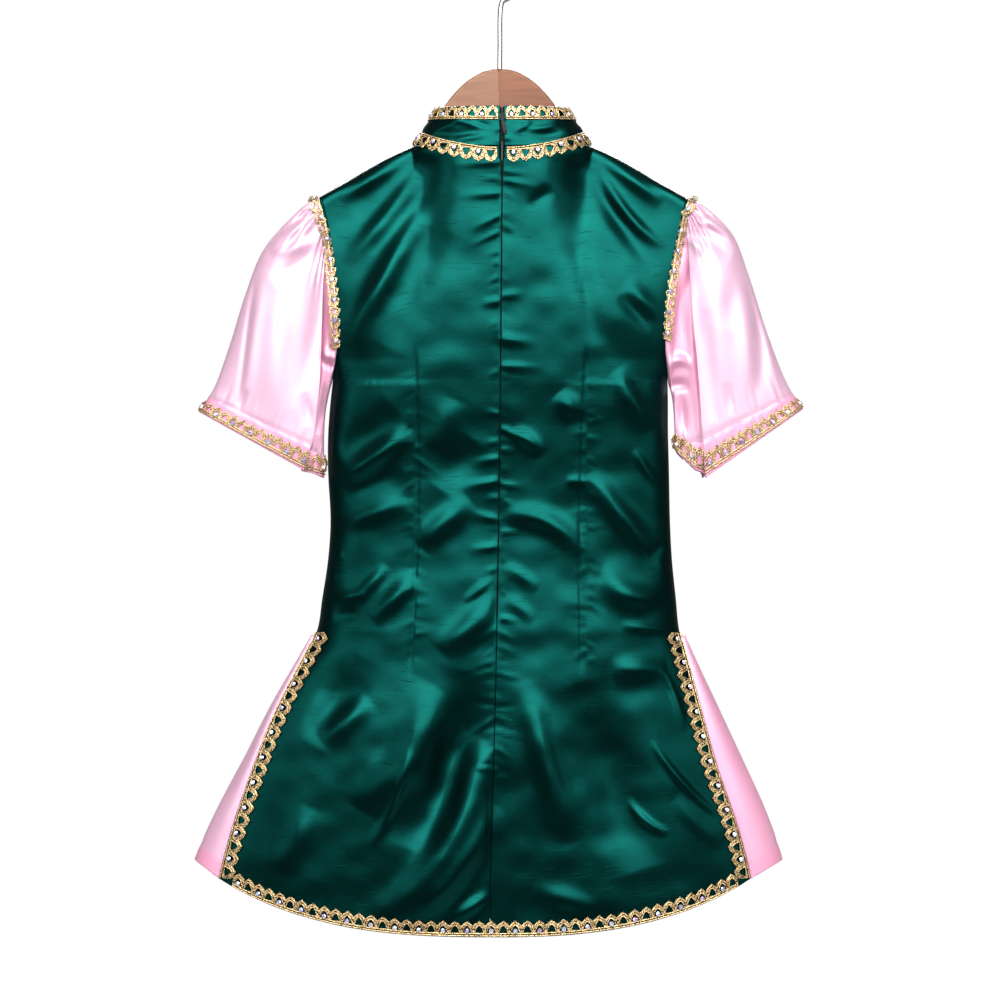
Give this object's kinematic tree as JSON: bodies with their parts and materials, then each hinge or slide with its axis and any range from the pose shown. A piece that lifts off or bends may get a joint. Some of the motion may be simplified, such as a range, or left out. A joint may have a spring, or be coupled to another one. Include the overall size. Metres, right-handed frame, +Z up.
{
  "type": "ballet dress on a wooden hanger",
  "caption": "Child's satin ballet tunic with stand collar, back zip, puffed sleeves, side slits over flared inserts and gold lace, on a hanger.",
  "frame": {"origin": "the point on the inside of the hook's top where the hanger rests on its rail", "axes": "+Z up, +Y towards the front of the dress, so that the zipped back faces -Y; +X to the right as seen from behind"},
  "size_m": [0.4929, 0.1194, 0.795],
  "materials": {
    "green_satin": "slubbed satin with a soft sheen",
    "pink_satin": "smooth satin with a soft sheen",
    "gold_lace": "metallic gold corded lace",
    "crystal": "faceted rhinestone with an aurora coat",
    "zip_tape": "dark woven tape with a moulded coil",
    "zip_metal": "dull nickel",
    "wood": "satin varnished beech",
    "hook_wire": "polished"
  },
  "bodies": {
    "dress_on_hanger": {"back_left": "green_satin", "back_right": "green_satin", "front": "green_satin", "collar": "green_satin", "insert_left": "pink_satin", "insert_right": "pink_satin", "sleeve_left": "pink_satin", "sleeve_right": "pink_satin", "lace_hem_back": "gold_lace", "lace_slit_back_left": "gold_lace", "lace_slit_back_right": "gold_lace", "lace_hem_front": "gold_lace", "lace_slit_front_left": "gold_lace", "lace_slit_front_right": "gold_lace", "lace_collar": "gold_lace", "lace_neck": "gold_lace", "lace_cuff_left": "gold_lace", "lace_armhole_left": "gold_lace", "lace_cuff_right": "gold_lace", "lace_armhole_right": "gold_lace", "zip_tape_left": "zip_tape", "zip_tape_right": "zip_tape", "zip_stop": "zip_metal", "zip_slider": "zip_metal", "hanger_arm_left": "wood", "hanger_arm_right": "wood", "hanger_hook": "hook_wire"},
    "pull_tab": {"zip_pull": "zip_metal"}
  },
  "joints": [
    {"name": "pull_tab_hinge", "type": "hinge", "parent": "dress_on_hanger", "child": "pull_tab", "pos_m": [0.0016, -0.03437, -0.1384], "axis": [-0.9759, 0, -0.2182], "range_deg": [0, 160]}
  ]
}
